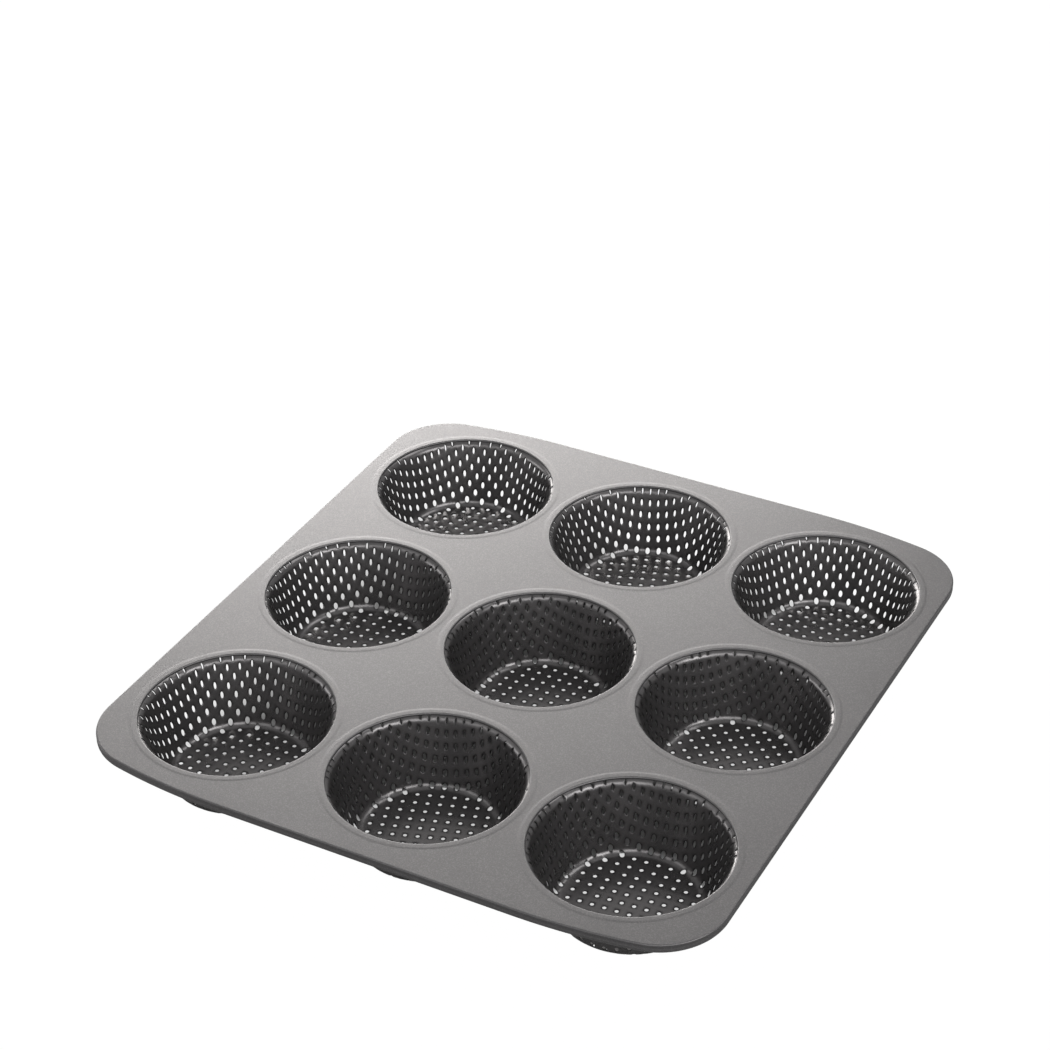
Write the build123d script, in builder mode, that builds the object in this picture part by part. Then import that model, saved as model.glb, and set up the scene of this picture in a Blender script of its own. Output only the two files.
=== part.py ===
# Nine-cup perforated roll tin.
#
# A flat pressed tray carries nine drawn, perforated cups, three across and three
# deep. Each cup hangs by a narrow flange that lies face to face under a raised
# ring in the tray. The tray's edge turns down and curls round a stiffening wire.
#
# Millimetres, +Z up. The origin lies under the middle of the tin, on the surface
# that the cups stand on. X runs across the tray and Y along it, and the front is
# towards -Y.

from build123d import *
from math import atan2, degrees, hypot, sqrt
import os

# Openings in the tray, and the land that is left between and around them
row_names = ("front", "centre", "back")
column_names = ("left", "middle", "right")
opening_diameter = 100.0
land_across = 11.0              # between neighbouring openings along X
land_along = 18.7               # between neighbouring openings along Y
side_margin = 11.5              # from an opening to the tray's side
end_margin = 15.3               # from an opening to the tray's front or back

# Tray outline
tray_sheet_thickness = 0.6
end_straight_length = 162.0     # flat middle of the front and back edges
end_bow_radius = 343.0          # gentle bow from there towards the corners
corner_radius = 36.0

# Raised ring around each opening
ring_rise = 0.3
ring_gap = 0.3                  # between the rings of neighbouring openings
ring_slope_width = 0.5
flange_side_clearance = 0.15    # between a flange and the step of its ring

# Turned and curled edge
edge_bend_radius = 1.3
skirt_straight_length = 1.95
rim_wire_diameter = 2.8
rim_wire_clearance = 0.05
curl_turn = 225.0               # degrees that the sheet goes round the wire

# Cups
cup_sheet_thickness = 0.5
cup_depth = 36.6                # tray top down to the inside of the cup's base
cup_base_diameter = 72.8        # inside, where wall and base would meet sharp
mouth_setback = 0.2             # from the opening in to where wall meets flange
base_corner_radius = 4.2
shoulder_radius = 4.2

# Perforation: round holes in the flat blank, before the cup is drawn from it
hole_diameter = 2.7
hole_pitch = 6.4
wall_stretch_ratio = 1.10       # drawn length of wall for a length of blank
hole_stretch_ratio = 1.5        # the same for a hole, which gives more than sheet
hole_narrowing_power = 2.3      # a hole also draws in more than the sheet does
slit_fill_share = 0.9           # a square-ended slit's sides for a round end's
flange_land = 2.4               # outermost rim of the cup, without holes
cut_overrun = 1.5

# The cups went into the tray as they came. For each one, the degrees that its grid
# of holes is turned about the cup's axis, and how far a hole of the grid then lies
# from that axis, across and along the turned grid, as shares of the pitch.
grid_turns = {
    "cup_back_left": -29.4,
    "cup_back_middle": 19.0,
    "cup_back_right": -26.1,
    "cup_centre_left": -2.3,
    "cup_centre_middle": -3.4,
    "cup_centre_right": -43.9,
    "cup_front_left": -8.3,
    "cup_front_middle": 18.8,
    "cup_front_right": 4.2,
}
grid_shift_shares = {
    "cup_back_left": (-0.14, 0.16),
    "cup_back_middle": (0.06, -0.26),
    "cup_back_right": (0.36, 0.42),
    "cup_centre_left": (0.0, 0.47),
    "cup_centre_middle": (-0.41, -0.36),
    "cup_centre_right": (-0.01, 0.03),
    "cup_front_left": (0.4, -0.23),
    "cup_front_middle": (0.11, -0.35),
    "cup_front_right": (0.37, -0.19),
}

# Pitches, outer sizes, levels and radii that follow from the sizes above
columns = len(column_names)
rows = len(row_names)
cup_pitch_across = opening_diameter + land_across
cup_pitch_along = opening_diameter + land_along
tray_width = (columns - 1) * cup_pitch_across + opening_diameter + 2 * side_margin
tray_length = (rows - 1) * cup_pitch_along + opening_diameter + 2 * end_margin
tray_top = cup_depth + cup_sheet_thickness
tray_underside = tray_top - tray_sheet_thickness
flange_top = tray_underside + ring_rise
opening_radius = opening_diameter / 2
ring_outer_radius = (cup_pitch_across - ring_gap) / 2
ring_inner_radius = ring_outer_radius - ring_slope_width
flange_radius = ring_inner_radius - flange_side_clearance
curl_inner_radius = rim_wire_diameter / 2 + rim_wire_clearance
curl_outer_radius = curl_inner_radius + tray_sheet_thickness
wire_inset = curl_outer_radius
wire_level = tray_top - edge_bend_radius - skirt_straight_length

os.makedirs("parts", exist_ok=True)


def tray_outline(inset, level):
    """The tray's outline at a level, drawn in by inset: flat ends that bow gently
    into round corners, and straight sides. All insets share the same arc centres."""
    side = tray_width / 2 - inset
    end = tray_length / 2 - inset
    bow = end_bow_radius - inset
    corner = corner_radius - inset
    flat = end_straight_length / 2
    # The corner arc touches the side, and touches the bow from within.
    corner_x = side - corner
    rise = sqrt((bow - corner) ** 2 - (corner_x - flat) ** 2)
    corner_y = end - bow + rise
    meet_angle = degrees(atan2(rise, corner_x - flat))
    with BuildLine(Plane.XY.offset(level)) as outline:
        Line((0, end), (flat, end))
        CenterArc((flat, end - bow), bow, 90, meet_angle - 90)
        CenterArc((corner_x, corner_y), corner, meet_angle, -meet_angle)
        Line((side, corner_y), (side, 0))
        mirror(about=Plane.XZ)
        mirror(about=Plane.YZ)
    return outline.wire()


def edge_section_plane(inset, level):
    """Plane across the middle of the front edge: x points out of the tray, y up."""
    origin = (0, inset - tray_length / 2, level)
    return Plane(origin=origin, x_dir=(0, -1, 0), z_dir=(-1, 0, 0))


# Raised ring round one opening, standing ring_rise above the rest of the tray
with BuildPart() as opening_ring:
    with BuildSketch(Plane.XZ):
        with BuildLine():
            Polyline(
                (ring_outer_radius, tray_underside),
                (ring_outer_radius, tray_top),
                (ring_inner_radius, tray_top + ring_rise),
                (opening_radius, tray_top + ring_rise),
                (opening_radius, flange_top),
                (ring_inner_radius, flange_top),
                close=True,
            )
        make_face()
    revolve(axis=Axis.Z)

# Tray: flat sheet, nine ringed openings, and the edge that is bent down, runs
# straight for a little and curls in under the wire
with BuildPart() as tray_sheet:
    with BuildSketch(Plane.XY.offset(tray_underside)):
        with BuildLine():
            add(tray_outline(edge_bend_radius, 0))
        make_face()
        with GridLocations(cup_pitch_across, cup_pitch_along, columns, rows):
            Circle(ring_outer_radius, mode=Mode.SUBTRACT)
    extrude(amount=tray_sheet_thickness)
    with GridLocations(cup_pitch_across, cup_pitch_along, columns, rows):
        add(opening_ring.part)
    with BuildSketch(edge_section_plane(0, tray_top)) as edge_section:
        with BuildLine():
            bend_centre = (-edge_bend_radius, -edge_bend_radius)
            bend_inner_radius = edge_bend_radius - tray_sheet_thickness
            curl_centre = (-wire_inset, wire_level - tray_top)
            outer_bend = CenterArc(bend_centre, edge_bend_radius, 90, -90)
            inner_bend = CenterArc(bend_centre, bend_inner_radius, 90, -90)
            outer_curl = CenterArc(curl_centre, curl_outer_radius, 0, -curl_turn)
            inner_curl = CenterArc(curl_centre, curl_inner_radius, 0, -curl_turn)
            Line(outer_bend @ 0, inner_bend @ 0)
            Line(outer_bend @ 1, outer_curl @ 0)
            Line(inner_bend @ 1, inner_curl @ 0)
            Line(outer_curl @ 1, inner_curl @ 1)
        make_face()
    sweep(sections=edge_section.sketch, path=tray_outline(0, tray_top))
tray_sheet.part.label = "tray_sheet"
export_step(tray_sheet.part, "parts/tray_sheet.step")

# Wire inside the curl
with BuildPart() as rim_wire:
    with BuildSketch(edge_section_plane(wire_inset, wire_level)):
        Circle(rim_wire_diameter / 2)
    sweep(path=tray_outline(wire_inset, wire_level))
rim_wire.part.label = "rim_wire"
export_step(rim_wire.part, "parts/rim_wire.step")

# Cup without its holes: base, corner, leaning wall, shoulder and flange
with BuildPart() as plain_cup:
    with BuildSketch(Plane.XZ):
        with BuildLine():
            cup_line = FilletPolyline(
                (0, cup_sheet_thickness),
                (cup_base_diameter / 2, cup_sheet_thickness),
                (opening_radius - mouth_setback, flange_top),
                (flange_radius, flange_top),
                radius=[base_corner_radius, shoulder_radius],
            )
            offset(amount=cup_sheet_thickness, side=Side.RIGHT)
        make_face()
    revolve(axis=Axis.Z)

# The cup is drawn from a flat blank with a square grid of round holes. A hole
# keeps its bearing. On the base it keeps its radius too, and past the base's edge
# it moves up the wall by its distance from that edge times wall_stretch_ratio.
base_flat_radius = cup_line.edges()[0].length
holed_length = cup_line.length - flange_land
holed_blank_radius = (
    base_flat_radius + (holed_length - base_flat_radius) / wall_stretch_ratio
)
grid_count = 2 * int(holed_blank_radius / hole_pitch) + 3


def slit_cutter(blank_radius, bearing):
    """Cutter for a hole at or past the base's edge: past it the sheet is stretched
    along the wall and drawn in around the cup, and the hole more so. Its four sides
    lie along and around the cup. None where it would reach the flange's land."""
    past_base = max(0, blank_radius - base_flat_radius)
    travel = blank_radius + past_base * (wall_stretch_ratio - 1)
    spot = cup_line.position_at(travel, position_mode=PositionMode.LENGTH)
    heading = cup_line.tangent_at(travel, position_mode=PositionMode.LENGTH)
    along_ratio = hole_stretch_ratio if past_base > 0 else 1
    around_ratio = (spot.X / blank_radius) ** hole_narrowing_power
    slit_length = slit_fill_share * hole_diameter * along_ratio
    slit_width = slit_fill_share * hole_diameter * around_ratio
    if travel + slit_length / 2 > holed_length:
        return None
    swing = degrees(slit_width / spot.X)
    section_plane = Plane.XZ.rotated((0, 0, bearing - swing / 2))
    with BuildSketch(section_plane) as slit_section:
        with Locations(Location((spot.X, spot.Y), heading.get_angle(Vector(1, 0, 0)))):
            Rectangle(slit_length, 2 * cut_overrun)
    return revolve(slit_section.sketch, Axis.Z, swing, mode=Mode.PRIVATE)


# The nine cups in their openings, each with its own grid of holes
for row, row_name in enumerate(row_names):
    for column, column_name in enumerate(column_names):
        cup_name = f"cup_{row_name}_{column_name}"
        across = (column - (columns - 1) / 2) * cup_pitch_across
        along = (row - (rows - 1) / 2) * cup_pitch_along
        shift_across_share, shift_along_share = grid_shift_shares[cup_name]
        base_holes = []
        slit_cutters = []
        for hole in GridLocations(hole_pitch, hole_pitch, grid_count, grid_count):
            hole_across = hole.position.X + shift_across_share * hole_pitch
            hole_along = hole.position.Y + shift_along_share * hole_pitch
            out = hypot(hole_across, hole_along)
            if out + hole_diameter / 2 < base_flat_radius:
                base_holes.append((hole_across, hole_along))
            elif out < holed_blank_radius:
                cutter = slit_cutter(out, degrees(atan2(hole_along, hole_across)))
                if cutter is not None:
                    slit_cutters.append(cutter)
        with BuildPart() as holed_cup:
            add(plain_cup.part)
            with BuildSketch(Plane.XY):
                with Locations(*base_holes):
                    Circle(hole_diameter / 2)
            extrude(amount=cup_sheet_thickness, mode=Mode.SUBTRACT)
            add(slit_cutters, mode=Mode.SUBTRACT)
        with BuildPart() as cup:
            with Locations(Location((across, along, 0), (0, 0, grid_turns[cup_name]))):
                add(holed_cup.part)
        cup.part.label = cup_name
        export_step(cup.part, f"parts/{cup_name}.step")
        print(cup_name, "holes", len(base_holes), "slits", len(slit_cutters))

print("tray", tray_width, tray_length, "overall height", tray_top + ring_rise)
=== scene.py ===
import math
import bpy
import numpy as np
from mathutils import Matrix, Vector


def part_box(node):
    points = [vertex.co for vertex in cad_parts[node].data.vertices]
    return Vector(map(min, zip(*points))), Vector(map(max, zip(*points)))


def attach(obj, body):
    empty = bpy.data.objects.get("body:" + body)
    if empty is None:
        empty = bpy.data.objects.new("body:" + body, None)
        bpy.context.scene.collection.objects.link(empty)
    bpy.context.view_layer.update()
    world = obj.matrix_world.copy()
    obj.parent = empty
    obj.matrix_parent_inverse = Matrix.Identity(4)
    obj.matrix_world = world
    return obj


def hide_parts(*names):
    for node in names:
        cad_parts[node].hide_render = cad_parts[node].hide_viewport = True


# A pressed tray with nine drawn, perforated cups and a rim that is rolled over a wire.
# Metres, +Z up. The floor is at 0, X runs across the tray and the front is towards -Y.

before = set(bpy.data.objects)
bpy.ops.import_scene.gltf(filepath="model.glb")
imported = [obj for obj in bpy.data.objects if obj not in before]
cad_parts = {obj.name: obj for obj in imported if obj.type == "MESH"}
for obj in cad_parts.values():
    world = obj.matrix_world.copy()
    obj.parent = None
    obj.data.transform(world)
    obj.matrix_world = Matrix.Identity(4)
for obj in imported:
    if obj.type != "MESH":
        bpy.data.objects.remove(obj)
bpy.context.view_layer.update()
scene = bpy.context.scene
rowNames = ("front", "centre", "back")
columnNames = ("left", "middle", "right")
# the back right cup lies one pitch across and one pitch along from the tray's middle
cupLow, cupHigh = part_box("cup_back_right")
cupPitch = ((cupLow.x + cupHigh.x) / 2, (cupLow.y + cupHigh.y) / 2)
print("Frame loaded:", len(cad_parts), "nodes")


# Sheet metal

mergeGrain = 1e-7                  # points that round to the same number of these are one
leastLength = 1e-20                # keeps a row of zeros from being divided by zero


# Points that fall on each other become one, and the faces are told their new numbers.
# The third result is the old number of each point that is left.
def mergedPoints(points, faces):
    whole = np.round(points / mergeGrain).astype(np.int64)
    _, first, number = np.unique(whole, axis=0, return_index=True, return_inverse=True)
    return points[first], number.ravel()[faces], first


# Each row of an array, made one long.
def unitRows(rows):
    return rows / np.maximum(np.linalg.norm(rows, axis=-1, keepdims=True), leastLength)


# Normal at each point: the sum of the normals of the faces round it, each as long as
# its face is large, made one long. Half the cross product of the diagonals is a face's.
def roundedNormals(points, faces):
    corner = points[faces]
    wide = np.cross(corner[:, 2] - corner[:, 0], corner[:, 3] - corner[:, 1])
    total = np.zeros_like(points)
    for k in range(4):
        np.add.at(total, faces[:, k], wide)
    return unitRows(total)


# Border of a square cell of the given steps a side, counterclockwise from its lower right
# corner, as x and y in steps from its lower left corner.
def squareBorder(steps):
    tick = np.arange(steps)
    full, none = np.full(steps, steps), np.zeros(steps, int)
    x = np.concatenate([full, steps - tick, none, tick])
    y = np.concatenate([tick, full, steps - tick, none])
    return x, y


# Faces between neighbouring rings of points, from the points' numbers. The numbers of one
# ring lie along the last axis, and its last point is next to its first.
def ringFaces(number):
    turned = np.roll(number, -1, axis=-1)
    inner, outer = number[..., :-1, :], number[..., 1:, :]
    turnedInner, turnedOuter = turned[..., :-1, :], turned[..., 1:, :]
    return np.stack([inner, outer, turnedOuter, turnedInner], axis=-1).reshape(-1, 4)


# One sheet of metal from an upper skin, a lower skin and the faces they share. An edge
# that no neighbouring face runs back along is open, and gets a wall between the skins.
# A point attribute is the mask of painted shade: 1 at the points of such walls, and the
# given share at the upper skin's others. The skins' normals are rounded ones unless they
# are given.
def sheetPiece(name, upper, lower, faces, material, normals=None, nearEdgeShade=0):
    count = len(upper)
    start, end = faces.ravel(), np.roll(faces, -1, axis=1).ravel()
    isOpen = ~np.isin(start * count + end, end * count + start)
    a, b = start[isOpen], end[isOpen]
    walls = np.stack([b, a, a + count, b + count], axis=1)
    below = faces[:, ::-1]
    points = np.concatenate([upper, lower])
    allFaces = np.concatenate([faces, below + count, walls])
    if normals is None:
        normals = roundedNormals(upper, faces), roundedNormals(lower, below)
    wallNormals = roundedNormals(points, walls)
    loopNormals = [normals[0][faces], normals[1][below], wallNormals[walls]]
    mesh = bpy.data.meshes.new(name)
    mesh.vertices.add(len(points))
    mesh.vertices.foreach_set("co", points.astype(np.float32).ravel())
    mesh.loops.add(allFaces.size)
    mesh.loops.foreach_set("vertex_index", allFaces.astype(np.int32).ravel())
    mesh.polygons.add(len(allFaces))
    loopStarts = np.arange(0, allFaces.size, 4, dtype=np.int32)
    mesh.polygons.foreach_set("loop_start", loopStarts)
    mesh.update(calc_edges=True)
    mesh.shade_smooth()
    mesh.normals_split_custom_set(np.concatenate(loopNormals).reshape(-1, 3))
    # mask of painted shade: 1 on the cut edges' walls, the given share on the upper skin
    onEdge = np.zeros(len(points), np.float32)
    onEdge[:count] = nearEdgeShade
    onEdge[np.concatenate([a, b, a + count, b + count])] = 1
    paintedShadeMask = mesh.attributes.new("paintedShadeMask", "FLOAT", "POINT")
    paintedShadeMask.data.foreach_set("value", onEdge)
    mesh.materials.append(material)
    piece = bpy.data.objects.new(name, mesh)
    scene.collection.objects.link(piece)
    return piece


# Materials


# Links each named or numbered input that is given a socket, and sets each that is given
# a value.
def feed(tree, node, inputs):
    for key, value in inputs.items():
        if isinstance(value, bpy.types.NodeSocket):
            tree.links.new(value, node.inputs[key])
        else:
            node.inputs[key].default_value = value


# A node with its own settings, and its inputs fed.
def newNode(tree, kind, inputs=None, **settings):
    node = tree.nodes.new(kind)
    for key, value in settings.items():
        setattr(node, key, value)
    feed(tree, node, inputs or {})
    return node


# The result of one sum, from sockets or values in the order of the node's inputs.
def mathNode(tree, operation, *values):
    inputs = dict(enumerate(values))
    return newNode(tree, "ShaderNodeMath", inputs, operation=operation).outputs[0]


# A colour socket's value.
def opaque(colour):
    return (*colour, 1)


coatPattern = {
    "grainDetail": 2.0,
    "grainRange": (0.45, 0.75),    # noise at which a grain starts, and is full
    "cloudDetail": 3.0,
    "cloudMiddle": 0.5,            # noise that leaves tone and gloss as they are
}
# inputs of the coat's group: name, kind of socket, and key in a piece's look
coatInputs = (
    ("Colour", "NodeSocketColor", "colour"),
    ("Grain Colour", "NodeSocketColor", "grainColour"),
    ("Grain Amount", "NodeSocketFloat", "grainAmount"),
    ("Grain Scale", "NodeSocketFloat", "grainScale"),
    ("Cloud Amount", "NodeSocketFloat", "cloudAmount"),
    ("Cloud Scale", "NodeSocketFloat", "cloudScale"),
    ("Gloss", "NodeSocketFloat", "roughness"),
    ("Gloss Spread", "NodeSocketFloat", "roughnessSpread"),
    ("Painted Edge Shade", "NodeSocketFloat", "paintedEdgeShade"),
)
coatOutputs = (
    ("Colour", "NodeSocketColor"),
    ("Roughness", "NodeSocketFloat"),
    ("Height", "NodeSocketFloat"),
)


# Non-stick coat: a base colour with fine bright grains and a slow cloudiness, an orange
# peel for the bump, and a gloss that is a little uneven. On the sheet's cut edges and round
# the holes, where the mask attribute is up, the colour is darkened as painted shade.
def coatGroup():
    tree = bpy.data.node_groups.new("coatGrain", "ShaderNodeTree")
    addSocket = tree.interface.new_socket
    addSocket("Point", in_out="INPUT", socket_type="NodeSocketVector")
    for name, kind, _ in coatInputs:
        addSocket(name, in_out="INPUT", socket_type=kind)
    for name, kind in coatOutputs:
        addSocket(name, in_out="OUTPUT", socket_type=kind)
    given = newNode(tree, "NodeGroupInput").outputs

    grain = newNode(tree, "ShaderNodeTexNoise", {
        "Vector": given["Point"],
        "Scale": given["Grain Scale"],
        "Detail": coatPattern["grainDetail"],
    })
    grainStart, grainFull = coatPattern["grainRange"]
    sharpGrain = newNode(tree, "ShaderNodeMapRange", {
        "Value": grain.outputs["Fac"], "From Min": grainStart, "From Max": grainFull,
    }).outputs["Result"]
    grainShare = mathNode(tree, "MULTIPLY", sharpGrain, given["Grain Amount"])
    # 6 and 7 are the mix's colours, and 2 is the colour that comes out
    grained = newNode(tree, "ShaderNodeMix", {
        "Factor": grainShare, 6: given["Colour"], 7: given["Grain Colour"],
    }, data_type="RGBA").outputs[2]

    cloud = newNode(tree, "ShaderNodeTexNoise", {
        "Vector": given["Point"],
        "Scale": given["Cloud Scale"],
        "Detail": coatPattern["cloudDetail"],
    })
    centred = mathNode(tree, "SUBTRACT", cloud.outputs["Fac"], coatPattern["cloudMiddle"])
    cloudiness = mathNode(tree, "MULTIPLY_ADD", centred, given["Cloud Amount"], 1.0)
    # painted shade: the coat's colour is darkened on cut edges and round holes, where the
    # mask is up
    paintedShadeMask = newNode(tree, "ShaderNodeAttribute", attribute_name="paintedShadeMask")
    edgeTone = newNode(tree, "ShaderNodeMapRange", {
        "Value": paintedShadeMask.outputs["Fac"], "To Min": 1.0, "To Max": given["Painted Edge Shade"],
    })
    tone = mathNode(tree, "MULTIPLY", cloudiness, edgeTone.outputs["Result"])
    shaded = newNode(
        tree, "ShaderNodeVectorMath", {0: grained, "Scale": tone}, operation="SCALE"
    )
    newNode(tree, "NodeGroupOutput", {
        "Colour": shaded.outputs[0],
        "Roughness": mathNode(
            tree, "MULTIPLY_ADD", centred, given["Gloss Spread"], given["Gloss"]
        ),
        "Height": grain.outputs["Fac"],
    })
    return tree


coatFinish = coatGroup()


# A material with the coat's pattern in the piece's own Object coordinates.
def coatMaterial(name, look):
    material = bpy.data.materials.new(name)
    material.use_nodes = True
    tree = material.node_tree
    inputs = {"Point": newNode(tree, "ShaderNodeTexCoord").outputs["Object"]}
    for socket, kind, key in coatInputs:
        inputs[socket] = opaque(look[key]) if kind == "NodeSocketColor" else look[key]
    coat = newNode(tree, "ShaderNodeGroup", inputs, node_tree=coatFinish)
    bump = newNode(tree, "ShaderNodeBump", {
        "Strength": look["bumpStrength"],
        "Distance": look["bumpHeight"],
        "Height": coat.outputs["Height"],
    })
    feed(tree, tree.nodes["Principled BSDF"], {
        "Base Color": coat.outputs["Colour"],
        "Roughness": coat.outputs["Roughness"],
        "Normal": bump.outputs["Normal"],
        "Metallic": look["metallic"],
        "Specular IOR Level": look["specular"],
    })
    return material


trayLook = {
    "colour": (0.117, 0.1135, 0.115),
    "grainColour": (0.245, 0.238, 0.24),
    "grainAmount": 0.38,
    "grainScale": 1700.0,
    "cloudAmount": 0.10,
    "cloudScale": 45.0,
    "metallic": 0.85,
    "specular": 0.5,
    "roughness": 0.42,
    "roughnessSpread": 0.06,
    "paintedEdgeShade": 0.25,             # painted shade on a cut edge: its tone as a share of the sheet's
    "bumpStrength": 0.12,
    "bumpHeight": 0.0001,
}
cupLook = {
    "colour": (0.129, 0.124, 0.125),
    "grainColour": (0.225, 0.215, 0.217),
    "grainAmount": 0.3,
    "grainScale": 1700.0,
    "cloudAmount": 0.15,
    "cloudScale": 60.0,
    "metallic": 0.85,
    "specular": 0.5,
    "roughness": 0.28,
    "roughnessSpread": 0.08,
    "paintedEdgeShade": 0.2,
    "bumpStrength": 0.1,
    "bumpHeight": 0.0001,
}
wireLook = {
    "colour": (0.55, 0.55, 0.56),
    "grainColour": (0.75, 0.75, 0.75),
    "grainAmount": 0.3,
    "grainScale": 900.0,
    "cloudAmount": 0.1,
    "cloudScale": 80.0,
    "metallic": 1.0,
    "specular": 0.5,
    "roughness": 0.35,
    "roughnessSpread": 0.1,
    "paintedEdgeShade": 1.0,
    "bumpStrength": 0.1,
    "bumpHeight": 0.00005,
}
trayCoat = coatMaterial("trayCoat", trayLook)
cupCoat = coatMaterial("cupCoat", cupLook)
wireSteel = coatMaterial("wireSteel", wireLook)
print("Materials made")


# Cups

cup = {
    "sheetThickness": 0.0005,
    "baseDiameter": 0.0728,        # inside, where the lines of base and wall cross
    "mouthDiameter": 0.0975,       # inside, where the lines of wall and flange cross
    "cornerRadius": 0.0042,
    "shoulderRadius": 0.0048,
    "holeDiameter": 0.0025,        # in the flat blank, where the coat leaves it open
    "baseHoleDiameter": 0.0021,
    "shoulderNarrowing": 0.6,      # a slit on the shoulder is this much of its width again
    "holePitch": 0.0064,
    "wallStretch": 1.10,           # length of drawn wall for a length of blank
    "holeStretch": 1.5,            # the same for a hole, reached over the base's corner
    "holeNarrowing": 2.3,          # and across, by this power of the sheet's drawing in
    "holeFreeRim": 0.0040,         # along the sheet, from its edge to a hole's middle
    "edgeRoll": 0.00026,           # how deep the sheet rolls in at a hole
    "ringShares": (0.0, 0.14, 0.42, 1.0),   # from a hole's edge, 0, to its cell's border, 1
    "rollShares": (1.0, 0.35, 0.04, 0.0),   # depth of the roll at those places
    "rollTilts": (32.0, 12.0, 2.0, 0.0),    # how far the sheet leans into the hole, degrees
    "paintedShadeShares": (1.0, 0.65, 0.12, 0.0),    # how much of the cut edge's painted shade it has
    "cellSteps": 6,                # steps along one side of a hole's square cell
    "lineSteps": 8000,             # steps along the cup's line
    # turn of the grid in degrees, and its shift across and along in shares of the pitch
    "grids": {
        "cup_back_left": (-29.4, -0.14, 0.16),
        "cup_back_middle": (19.0, 0.06, -0.26),
        "cup_back_right": (-26.1, 0.36, 0.42),
        "cup_centre_left": (-2.3, 0.0, 0.47),
        "cup_centre_middle": (-3.4, -0.41, -0.36),
        "cup_centre_right": (-43.9, -0.01, 0.03),
        "cup_front_left": (-8.3, 0.4, -0.23),
        "cup_front_middle": (18.8, 0.11, -0.35),
        "cup_front_right": (4.2, 0.37, -0.19),
    },
}


# The cup's line, as the distance from the axis, the height and the slope at many lengths
# travelled. The slope is 0 on base and flange and the wall's own lean between them, and
# changes evenly on the two arcs. Adding up its cosine and sine gives distance and height.
# With them come the lengths at which the flat base and the wall end.
def cupLine(flangeRadius, flangeTop):
    base, mouth = cup["baseDiameter"] / 2, cup["mouthDiameter"] / 2
    bottom = cup["sheetThickness"]
    lean = math.atan2(flangeTop - bottom, mouth - base)
    reach = math.tan(lean / 2)
    corner, shoulder = cup["cornerRadius"], cup["shoulderRadius"]
    wall = math.hypot(flangeTop - bottom, mouth - base) - (corner + shoulder) * reach
    lengths = [
        base - corner * reach, corner * lean, wall, shoulder * lean,
        flangeRadius - mouth - shoulder * reach,
    ]
    knots = np.concatenate([[0], np.cumsum(lengths)])
    travel = np.linspace(0, knots[-1], cup["lineSteps"] + 1)
    slope = np.interp(travel, knots, [0, 0, lean, lean, 0, 0])
    step = np.diff(travel)
    middle = (slope[1:] + slope[:-1]) / 2
    radius = np.concatenate([[0], np.cumsum(np.cos(middle) * step)])
    height = bottom + np.concatenate([[0], np.cumsum(np.sin(middle) * step)])
    return {
        "travel": travel, "radius": radius, "height": height, "slope": slope,
        "baseEnd": knots[1], "wallEnd": knots[3],
    }


# Length travelled along the cup's line to a point of the blank: its distance from the
# axis, and what of that is past the flat base made longer by wallStretch.
def drawnLength(distance, line):
    pastBase = np.maximum(distance - line["baseEnd"], 0)
    return distance + pastBase * (cup["wallStretch"] - 1)


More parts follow.
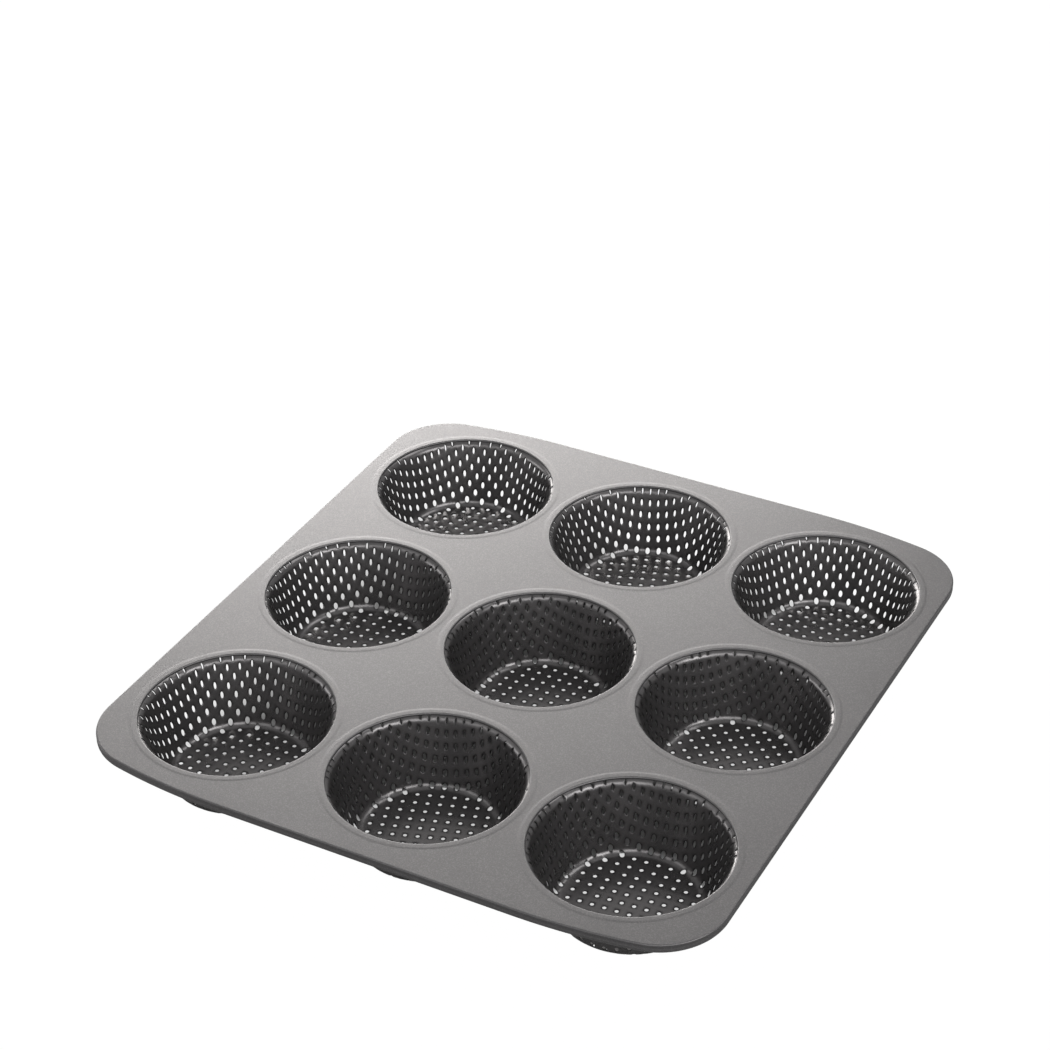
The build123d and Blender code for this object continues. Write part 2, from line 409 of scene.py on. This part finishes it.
# Every hole has a square cell of the blank, and k and m are the cells' columns and rows.
# Between a hole's edge and its cell's border lie rings of points, all at the same
# bearings: shares of the way from edge to border. A hole is an oval: along the wall it
# grows by holeStretch, and around it shrinks by the power holeNarrowing of drawn radius
# over blank radius. The second result has, for each point, the roll's depth, the lean,
# the way to the hole's middle, and how much it has of the painted shade at the cut edge.
def holedCells(k, m, shiftAcross, shiftAlong, line):
    steps, pitch = cup["cellSteps"], cup["holePitch"]
    middleX, middleY = (k + shiftAcross) * pitch, (m + shiftAlong) * pitch
    out = np.hypot(middleX, middleY)
    drawn = drawnLength(out, line)
    isPastBase = out > line["baseEnd"]
    turnedUp = np.clip((out - line["baseEnd"]) / cup["cornerRadius"], 0, 1)
    # 0 half a shoulder's radius before the wall's end, and 1 half of one past it
    onShoulder = np.clip((drawn - line["wallEnd"]) / cup["shoulderRadius"] + 0.5, 0, 1)
    bore = np.where(isPastBase, cup["holeDiameter"], cup["baseHoleDiameter"])
    drawnRadius = np.interp(drawn, line["travel"], line["radius"])
    drawingIn = np.where(isPastBase, drawnRadius / out, 1)
    narrowing = drawingIn ** (cup["holeNarrowing"] - 1)
    lengthening = 1 + (cup["holeStretch"] / cup["wallStretch"] - 1) * turnedUp
    halfAlong = (bore / 2 * lengthening)[:, None]
    halfAround = bore / 2 * narrowing * (1 - (1 - cup["shoulderNarrowing"]) * onShoulder)
    halfAround = halfAround[:, None]

    # the hole's edge from the lower right, as its cell's border runs
    turn = np.arange(4 * steps) / (4 * steps)
    angle = 2 * np.pi * turn - np.pi / 4
    bearing = np.arctan2(middleY, middleX)[:, None]
    u = halfAlong * np.cos(angle - bearing)
    v = halfAround * np.sin(angle - bearing)
    holeX = u * np.cos(bearing) - v * np.sin(bearing)
    holeY = u * np.sin(bearing) + v * np.cos(bearing)
    borderX, borderY = squareBorder(steps)
    borderX = ((steps * k[:, None] + borderX) / steps - 0.5 + shiftAcross) * pitch
    borderY = ((steps * m[:, None] + borderY) / steps - 0.5 + shiftAlong) * pitch

    share = np.array(cup["ringShares"])[:, None]
    ringX = (1 - share) * (middleX[:, None] + holeX)[:, None] + share * borderX[:, None]
    ringY = (1 - share) * (middleY[:, None] + holeY)[:, None] + share * borderY[:, None]
    ringX[:, -1], ringY[:, -1] = borderX, borderY
    # tone: the share of painted shade, darkest at the hole's edge and fading outwards
    roll, lean, tone = (
        np.broadcast_to(np.array(values)[:, None], ringX.shape)
        for values in (cup["rollShares"], np.radians(cup["rollTilts"]), cup["paintedShadeShares"])
    )
    towardX, towardY = middleX[:, None, None] - ringX, middleY[:, None, None] - ringY
    points = np.stack([ringX, ringY], axis=-1).reshape(-1, 2)
    rolls = np.stack([roll, lean, towardX, towardY, tone], axis=-1).reshape(-1, 5)
    number = np.arange(ringX.size).reshape(ringX.shape)
    return points, rolls, ringFaces(number)


# Cells without a hole are plain grids of cellSteps by cellSteps faces.
def plainCells(k, m, shiftAcross, shiftAlong):
    steps, pitch = cup["cellSteps"], cup["holePitch"]
    tick = np.arange(steps + 1)
    k, m = k[:, None, None], m[:, None, None]
    x = ((steps * k + tick[:, None]) / steps - 0.5 + shiftAcross) * pitch
    y = ((steps * m + tick) / steps - 0.5 + shiftAlong) * pitch
    points = np.stack(np.broadcast_arrays(x, y), axis=-1)
    number = np.arange(points[..., 0].size).reshape(points.shape[:-1])
    low, high = number[:, :-1], number[:, 1:]
    corners = [low[:, :, :-1], high[:, :, :-1], high[:, :, 1:], low[:, :, 1:]]
    return points.reshape(-1, 2), np.stack(corners, axis=-1).reshape(-1, 4)


# The flat blank: the bearing of each point, its distance from the axis, its roll, and the
# faces. Cells past the last holes are plain, and the last of them are trimmed at the edge.
def cupBlank(shiftAcross, shiftAlong, line):
    full, baseEnd, pitch = line["travel"][-1], line["baseEnd"], cup["holePitch"]
    blankEdge = baseEnd + (full - baseEnd) / cup["wallStretch"]
    farthest = int(blankEdge / pitch) + 2
    span = np.arange(-farthest, farthest + 1)
    k, m = (grid.ravel() for grid in np.meshgrid(span, span, indexing="ij"))
    middleX, middleY = (k + shiftAcross) * pitch, (m + shiftAlong) * pitch
    nearX = np.maximum(np.abs(middleX) - pitch / 2, 0)
    nearY = np.maximum(np.abs(middleY) - pitch / 2, 0)
    lastHole = full - cup["holeFreeRim"]
    isHoled = drawnLength(np.hypot(middleX, middleY), line) < lastHole
    isPlain = ~isHoled & (np.hypot(nearX, nearY) < blankEdge)

    points, rolls, faces = holedCells(k[isHoled], m[isHoled], shiftAcross, shiftAlong, line)
    plain, plainFaces = plainCells(k[isPlain], m[isPlain], shiftAcross, shiftAlong)
    faces = np.concatenate([faces, plainFaces + len(points)])
    rolls = np.concatenate([rolls, np.zeros((len(plain), rolls.shape[1]))])
    points, faces, kept = mergedPoints(np.concatenate([points, plain]), faces)

    distance = np.hypot(points[:, 0], points[:, 1])
    faces = faces[(distance[faces] < blankEdge).any(axis=1)]
    used, number = np.unique(faces, return_inverse=True)
    bearing = np.arctan2(points[used, 1], points[used, 0])
    distance = np.minimum(distance, blankEdge)[used]
    return bearing, distance, rolls[kept][used], number.reshape(faces.shape)


# The cup is its blank drawn to the cup's line: a point keeps its bearing, but for the turn
# of the whole grid, and its travel gives radius and height. The normal is the line's,
# leaned towards the hole's middle, and each skin lies square to the line.
def cupPiece(nodeName):
    low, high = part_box(nodeName)
    centre = (low + high) / 2
    line = cupLine((high.x - low.x) / 2, high.z)
    turn, shiftAcross, shiftAlong = cup["grids"][nodeName]
    blankBearing, distance, rolls, faces = cupBlank(shiftAcross, shiftAlong, line)
    travel = drawnLength(distance, line)
    radius, height, slope = (
        np.interp(travel, line["travel"], line[key])
        for key in ("radius", "height", "slope")
    )
    bearing = blankBearing + math.radians(turn)

    roll, lean, towardX, towardY, tone = rolls.T
    toAlong = towardX * np.cos(blankBearing) + towardY * np.sin(blankBearing)
    toAround = towardY * np.cos(blankBearing) - towardX * np.sin(blankBearing)
    level = np.zeros_like(bearing)
    outward = np.stack([np.cos(bearing), np.sin(bearing), level], axis=1)
    around = np.stack([-np.sin(bearing), np.cos(bearing), level], axis=1)
    upward = np.array([0.0, 0.0, 1.0])
    cosine, sine = np.cos(slope)[:, None], np.sin(slope)[:, None]
    inside = cosine * upward - sine * outward
    along = cosine * outward + sine * upward
    towards = unitRows(toAlong[:, None] * along + toAround[:, None] * around)
    leaned = np.cos(lean)[:, None] * inside + np.sin(lean)[:, None] * towards

    def skin(depth):
        out = radius + depth * np.sin(slope)
        x, y = centre.x + out * np.cos(bearing), centre.y + out * np.sin(bearing)
        return np.stack([x, y, height - depth * np.cos(slope)], axis=1)

    name = nodeName.replace("cup_", "cup_shell_")
    upper, lower = skin(roll * cup["edgeRoll"]), skin(cup["sheetThickness"])
    # tone darkens the upper skin round each hole: painted shade
    piece = sheetPiece(name, upper, lower, faces, cupCoat, (leaned, -inside), tone)
    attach(piece, "root")
    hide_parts(nodeName)
    return piece


for rowName in rowNames:
    for columnName in columnNames:
        shell = cupPiece(f"cup_{rowName}_{columnName}")
        print("Cup:", shell.name, len(shell.data.polygons), "faces")


# Tray

tray = {
    "sheetThickness": 0.0006,
    "ringRise": 0.00008,           # the land round an opening stands this much higher
    "ringWidth": 0.0047,
    "ringSlope": 0.0019,           # width over which it rises
    "openingDiameter": 0.100,
    "openingBend": 0.0008,         # the sheet turns down at an opening by this radius
    "openingDrop": 0.0002,         # and goes straight down this far
    "endStraight": 0.162,          # flat middle of the front and back edges
    "endBowRadius": 0.343,         # from there the edge bows gently towards the corners
    "cornerRadius": 0.036,
    "bendRadius": 0.0008,
    "skirtLength": 0.00267,
    "grooveDepth": 0.0003,         # the skirt is drawn in a little between bend and roll
    "wireDiameter": 0.0028,
    "wireGap": 0.00005,
    "rollTurn": 225.0,             # degrees that the sheet goes round the wire
    "sideSteps": 60,               # steps along one side of an opening's cell
    "slopeSteps": 7,               # steps up a ring's slope
    "bendSteps": 6,                # steps round a bend
    "skirtSteps": 6,               # steps down the skirt
    "rollSteps": 18,               # steps round the wire
    "outlineSteps": 20000,         # steps along a quarter of the outline
}


# The outline and its outward normal at given lengths from the middle of the right side,
# for a quarter turn: straight side, corner arc, bow arc, flat end. The normal's angle
# stays on the straights and grows evenly on the arcs, and the point is its running sum.
def quarterOutline(halfWidth, halfLength):
    corner, bow, flat = tray["cornerRadius"], tray["endBowRadius"], tray["endStraight"] / 2
    cornerX = halfWidth - corner
    rise = math.sqrt((bow - corner) ** 2 - (cornerX - flat) ** 2)
    meet = math.atan2(rise, cornerX - flat)
    cornerY = halfLength - bow + rise
    knots = np.cumsum([0, cornerY, corner * meet, bow * (math.pi / 2 - meet), flat])
    length = np.linspace(0, knots[-1], tray["outlineSteps"] + 1)
    angle = np.interp(length, knots, [0, 0, meet, math.pi / 2, math.pi / 2])
    middle = (angle[1:] + angle[:-1]) / 2
    step = np.diff(length)
    x = halfWidth - np.concatenate([[0], np.cumsum(np.sin(middle) * step)])
    y = np.concatenate([[0], np.cumsum(np.cos(middle) * step)])
    return length, x, y, angle


# A closed loop of points and normals, counterclockwise from the right side's middle. The
# marks are lengths along the quarter, and the other three quarters are its mirror images.
def fullOutline(quarter, marks):
    length, x, y, angle = quarter
    px, py, pa = (np.interp(marks, length, column) for column in (x, y, angle))
    corner = np.stack([px, py, np.cos(pa), np.sin(pa)], axis=1)
    first, second = corner[:-1], (corner * [-1, 1, -1, 1])[:0:-1]
    return np.concatenate([first, second, -first, -second])


# The outline takes over part of the border of each outer cell. For a cell's column and
# row: the first border step, the first outline step, and the number of steps.
def takenSteps(side):
    half = side // 2
    return {
        (1, 0): (0, -half, side),
        (1, 1): (0, half, 2 * side),
        (0, 1): (side, 5 * half, side),
        (-1, 1): (side, 7 * half, 2 * side),
        (-1, 0): (2 * side, 11 * half, side),
        (-1, -1): (2 * side, 13 * half, 2 * side),
        (0, -1): (3 * side, 17 * half, side),
        (1, -1): (3 * side, 19 * half, 2 * side),
    }


# Line of the sheet at an opening, from under its turned edge to the foot of its ring, as
# distance from the opening's axis and height: straight up, a quarter bend, and a slope
# that eases in and out. The lower skin lies one thickness away, square to the sheet.
def openingLine(ringTop):
    opening, bend = tray["openingDiameter"] / 2, tray["openingBend"]
    count = tray["slopeSteps"] + 1
    turned = np.radians(np.linspace(0, 90, tray["bendSteps"] + 1))
    share = np.linspace(1, 0, count)
    foot = ringTop - tray["ringRise"]
    slopeRadius = opening + tray["ringWidth"] - tray["ringSlope"] * share
    slopeTop = foot + tray["ringRise"] * share * share * (3 - 2 * share)
    radius = np.concatenate([[opening], opening + bend * (1 - np.cos(turned)), slopeRadius])
    edgeTop = ringTop - bend - tray["openingDrop"]
    bendTop = ringTop - bend * (1 - np.sin(turned))
    height = np.concatenate([[edgeTop], bendTop, slopeTop])
    facing = np.concatenate([[0], turned, np.full(count, np.pi / 2)])
    thickness = tray["sheetThickness"]
    lowerRadius = radius + thickness * np.cos(facing)
    return radius, height, lowerRadius, height - thickness * np.sin(facing)


# The tray's top is nine cells, one round each opening: rings of points that follow the
# opening's line, and one on the cell's border. Gives upper and lower points, and faces.
def trayTop(ringTop, plateEdge):
    side, thickness = tray["sideSteps"], tray["sheetThickness"]
    around = 4 * side
    pitchX, pitchY = cupPitch
    radius, height, lowerRadius, lowerHeight = openingLine(ringTop)
    angle = 2 * np.pi * np.arange(around) / around - np.pi / 4

    def turnedRound(radius, height, column, row):
        x = column * pitchX + radius[:, None] * np.cos(angle)
        y = row * pitchY + radius[:, None] * np.sin(angle)
        return np.stack([x, y, np.broadcast_to(height[:, None], x.shape)], axis=-1)

    borderX, borderY = squareBorder(side)
    taken = takenSteps(side)
    upper, lower, faces, count = [], [], [], 0
    for row in (-1, 0, 1):
        for column in (-1, 0, 1):
            border = np.stack([
                (side * column + borderX - side / 2) * (pitchX / side),
                (side * row + borderY - side / 2) * (pitchY / side),
            ], axis=1)
            if (column, row) in taken:
                first, start, steps = taken[(column, row)]
                step = np.arange(steps + 1)
                border[(first + step) % around] = plateEdge[(start + step) % len(plateEdge)]
            plate = np.full((around, 1), ringTop - tray["ringRise"])
            rim = np.concatenate([border, plate], axis=1)[None]
            rings = turnedRound(radius, height, column, row)
            lowerRings = turnedRound(lowerRadius, lowerHeight, column, row)
            rings = np.concatenate([rings, rim])
            lowerRings = np.concatenate([lowerRings, rim - (0, 0, thickness)])
            number = count + np.arange(len(rings) * around).reshape(len(rings), around)
            upper.append(rings.reshape(-1, 3))
            lower.append(lowerRings.reshape(-1, 3))
            faces.append(ringFaces(number))
            count += number.size
    return np.concatenate(upper), np.concatenate(lower), np.concatenate(faces)


# Line of the rolled edge at a depth below its outer face, as distance in from the outline
# and height: a quarter bend, the skirt with a shallow sine-squared groove, and an arc
# round the wire.
def edgeLine(top, depth):
    bend, skirt = tray["bendRadius"], tray["skirtLength"]
    rollRadius = tray["wireDiameter"] / 2 + tray["wireGap"] + tray["sheetThickness"]
    bent, rolled = bend - depth, rollRadius - depth
    bendAngle = np.radians(np.linspace(90, 0, tray["bendSteps"] + 1))
    rollAngle = np.radians(np.linspace(0, -tray["rollTurn"], tray["rollSteps"] + 1))
    share = np.linspace(0, 1, tray["skirtSteps"] + 1)[1:-1]
    inset = np.concatenate([
        bend - bent * np.cos(bendAngle),
        tray["grooveDepth"] * np.sin(np.pi * share) ** 2 + depth,
        rollRadius - rolled * np.cos(rollAngle),
    ])
    height = np.concatenate([
        top - bend + bent * np.sin(bendAngle),
        top - bend - skirt * share,
        top - bend - skirt + rolled * np.sin(rollAngle),
    ])
    return inset, height


# The edge's line is carried along the outline: each point lies its inset back along the
# outline's normal.
def swept(outline, plateEdge, inset, height):
    place = outline[:, :2] - inset[:, None, None] * outline[:, 2:]
    place[0] = plateEdge
    level = np.broadcast_to(height[:, None, None], place.shape[:2] + (1,))
    return np.concatenate([place, level], axis=-1).reshape(-1, 3)


# The tray is its top and its rolled edge, which share the points of the plate's edge.
def trayPiece():
    low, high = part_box("tray_sheet")
    top = high.z - tray["ringRise"]
    side = tray["sideSteps"]
    half = side // 2

    # outline, with a point wherever the border between two cells meets it
    quarter = quarterOutline((high.x - low.x) / 2, (high.y - low.y) / 2)
    whole = quarter[0][-1]
    besideX, besideY = cupPitch[0] / 2, cupPitch[1] / 2
    outline = fullOutline(quarter, np.concatenate([
        np.linspace(0, besideY, half + 1)[:-1],
        np.linspace(besideY, whole - besideX, 2 * side + 1)[:-1],
        np.linspace(whole - besideX, whole, half + 1),
    ]))
    plateEdge = outline[:, :2] - tray["bendRadius"] * outline[:, 2:]

    upper, lower, faces = trayTop(high.z, plateEdge)
    inset, height = edgeLine(top, 0)
    outer = swept(outline, plateEdge, inset, height)
    inner = swept(outline, plateEdge, *edgeLine(top, tray["sheetThickness"]))
    outer[:len(outline), 2] = top
    number = len(upper) + np.arange(len(outer)).reshape(len(inset), len(outline))
    faces = np.concatenate([faces, ringFaces(number)])
    upper, faces, kept = mergedPoints(np.concatenate([upper, outer]), faces)
    lower = np.concatenate([lower, inner])[kept]
    piece = sheetPiece("tray_pressing", upper, lower, faces, trayCoat)
    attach(piece, "root")
    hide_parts("tray_sheet")
    return piece


pressing = trayPiece()
print("Tray:", len(pressing.data.polygons), "faces")

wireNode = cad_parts["rim_wire"]
for slot in wireNode.material_slots:
    slot.material = wireSteel
print("Wire finished")


# Floor, lights and camera

studio = {
    "floorSize": 8.0,
    "floorColour": (0.40, 0.40, 0.40),
    "floorRoughness": 0.9,
    "floorSpecular": 0.1,
    "glowColour": (1.0, 1.0, 1.0),
    "baseGlow": 0.037,             # radius that glows round a cup's axis
    # a base's glow: the middle's, and what X in metres and X times Y add to it
    "baseLevels": (0.45, 0.405, -6.45),
    # where the shade under the tin starts and where it is full: from the left and the
    # right along X, from the front and the back along Y
    "shadeRamps": {
        "X": ((-0.1665, -0.1225), (0.148, 0.139)),
        "Y": ((-0.138, -0.12), (0.164, 0.12)),
    },
    "worldColour": (1.0, 1.0, 1.0),
    "worldStrength": 0.46,
    "lightDistance": 1.7,
    # name: bearing and elevation in degrees as seen from the tin, width, height, watts,
    # colour
    "lights": {
        "backLow": (119, 17, 0.9, 0.4, 13.5, (1, 0.985, 0.96)),
        "backMid": (118, 28, 0.9, 0.35, 1.5, (1, 0.985, 0.96)),
        "backHigh": (118, 42, 0.9, 0.5, 0.7, (1, 0.985, 0.96)),
        "backLeft": (132, 22, 0.5, 0.4, 3.5, (1, 0.985, 0.96)),
        "shoulderGlint": (145, 15, 0.4, 0.5, 6.5, (1, 0.985, 0.96)),
        "backRight": (55, 54, 0.7, 0.5, 3.5, (1, 1, 1)),
        "leftLow": (190, 12, 1.0, 0.4, 3.7, (1, 1, 1)),
        "left": (215, 40, 0.9, 0.7, 1.4, (1, 1, 1)),
        "frontLeft": (-110, 40, 1.0, 0.8, 2.2, (1, 1, 1)),
        "front": (-60, 38, 1.0, 0.7, 6, (1, 1, 1)),
        "right": (-15, 35, 0.9, 0.6, 10, (1, 1, 1)),
    },
}
camera = {
    "place": (0.51698, -0.96541, 0.84407),
    "aim": (-0.06182, 0.09891, 0.0371),
    "roll": 0.87,                  # degrees that the camera leans to its right
    "lens": 89.177,
    "sensor": 36.0,
    "clip": (0.05, 30),            # nearest and farthest that it sees, in metres
}


# Painted light on the floor, seen by the camera alone: a glow under every cup's base,
# within baseGlow of its axis, and outside the shade under the tin, painted over the tin's
# cast shadow near its edges. The shade is the product of four ramps, one from each side.
# Where it glows, the floor itself adds nothing.
def floorMaterial():
    material = bpy.data.materials.new("paleFloor")
    material.use_nodes = True
    tree = material.node_tree
    point = newNode(tree, "ShaderNodeTexCoord").outputs["Object"]
    place = newNode(tree, "ShaderNodeSeparateXYZ", {0: point}).outputs
    shade = 1
    for axis, ramps in studio["shadeRamps"].items():
        for start, end in ramps:
            ramp = newNode(tree, "ShaderNodeMapRange", {
                "Value": place[axis], "From Min": start, "From Max": end,
            })
            shade = mathNode(tree, "MULTIPLY", shade, ramp.outputs["Result"])

    # the distance from the nearest cup's axis: |x| and |y| are folded about half the pitch
    folded = {
        axis: mathNode(tree, "PINGPONG", mathNode(tree, "ABSOLUTE", place[axis]), width / 2)
        for axis, width in zip("XY", cupPitch)
    }
    offCentre = newNode(tree, "ShaderNodeCombineXYZ", folded).outputs[0]
    toAxis = newNode(tree, "ShaderNodeVectorMath", {0: offCentre}, operation="LENGTH")
    underBase = mathNode(tree, "LESS_THAN", toAxis.outputs["Value"], studio["baseGlow"])
    middleLevel, acrossLevel, crossLevel = studio["baseLevels"]
    levelSlope = mathNode(tree, "MULTIPLY_ADD", place["Y"], crossLevel, acrossLevel)
    level = mathNode(tree, "MULTIPLY_ADD", place["X"], levelSlope, middleLevel)
    baseGlow = mathNode(tree, "MULTIPLY", level, underBase)
    glow = mathNode(tree, "MAXIMUM", baseGlow, mathNode(tree, "SUBTRACT", 1, shade))
    isSeen = newNode(tree, "ShaderNodeLightPath").outputs["Is Camera Ray"]
    seenGlow = mathNode(tree, "MULTIPLY", glow, isSeen)
    tone = newNode(tree, "ShaderNodeMix", {
        "Factor": seenGlow, 6: opaque(studio["floorColour"]), 7: (0, 0, 0, 1),
    }, data_type="RGBA")
    feed(tree, tree.nodes["Principled BSDF"], {
        "Base Color": tone.outputs[2],
        "Roughness": studio["floorRoughness"],
        "Specular IOR Level": studio["floorSpecular"],
        "Emission Color": opaque(studio["glowColour"]),
        "Emission Strength": seenGlow,
    })
    return material


half = studio["floorSize"] / 2
floorCorners = [(-half, -half, 0), (half, -half, 0), (half, half, 0), (-half, half, 0)]
floorMesh = bpy.data.meshes.new("floor")
floorMesh.from_pydata(floorCorners, [], [(0, 1, 2, 3)])
floorMesh.materials.append(floorMaterial())
floor = bpy.data.objects.new("floor", floorMesh)
scene.collection.objects.link(floor)

# the camera sees the world as white as the floor
world = bpy.data.worlds.new("studio")
scene.world = world
world.use_nodes = True
worldTree = world.node_tree
worldStrength = newNode(worldTree, "ShaderNodeMapRange", {
    "Value": newNode(worldTree, "ShaderNodeLightPath").outputs["Is Camera Ray"],
    "To Min": studio["worldStrength"],
    "To Max": 1,
})
feed(worldTree, worldTree.nodes["Background"], {
    "Color": opaque(studio["worldColour"]),
    "Strength": worldStrength.outputs["Result"],
})

for name, (bearing, elevation, width, height, watts, colour) in studio["lights"].items():
    lamp = bpy.data.lights.new(name, "AREA")
    lamp.shape = "RECTANGLE"
    lamp.size, lamp.size_y = width, height
    lamp.energy, lamp.color = watts, colour
    holder = bpy.data.objects.new(name, lamp)
    bearing, elevation = math.radians(bearing), math.radians(elevation)
    out = math.cos(elevation) * studio["lightDistance"]
    up = math.sin(elevation) * studio["lightDistance"]
    holder.location = (out * math.cos(bearing), out * math.sin(bearing), up)
    holder.rotation_euler = (-holder.location).to_track_quat("-Z", "Y").to_euler()
    scene.collection.objects.link(holder)
scene.view_settings.view_transform = "Standard"

lensData = bpy.data.cameras.new("camera")
lensData.lens, lensData.sensor_width = camera["lens"], camera["sensor"]
lensData.clip_start, lensData.clip_end = camera["clip"]
viewer = bpy.data.objects.new("camera", lensData)
place, aim = Vector(camera["place"]), Vector(camera["aim"])
ahead = (aim - place).normalized()
right = ahead.cross(Vector((0, 0, 1))).normalized()
lean = math.radians(camera["roll"])
tiltedUp = right.cross(ahead) * math.cos(lean) + right * math.sin(lean)
axes = Matrix((ahead.cross(tiltedUp), tiltedUp, -ahead)).transposed()
viewer.matrix_world = Matrix.Translation(place) @ axes.to_4x4()
scene.collection.objects.link(viewer)
scene.camera = viewer
print("Studio lit")
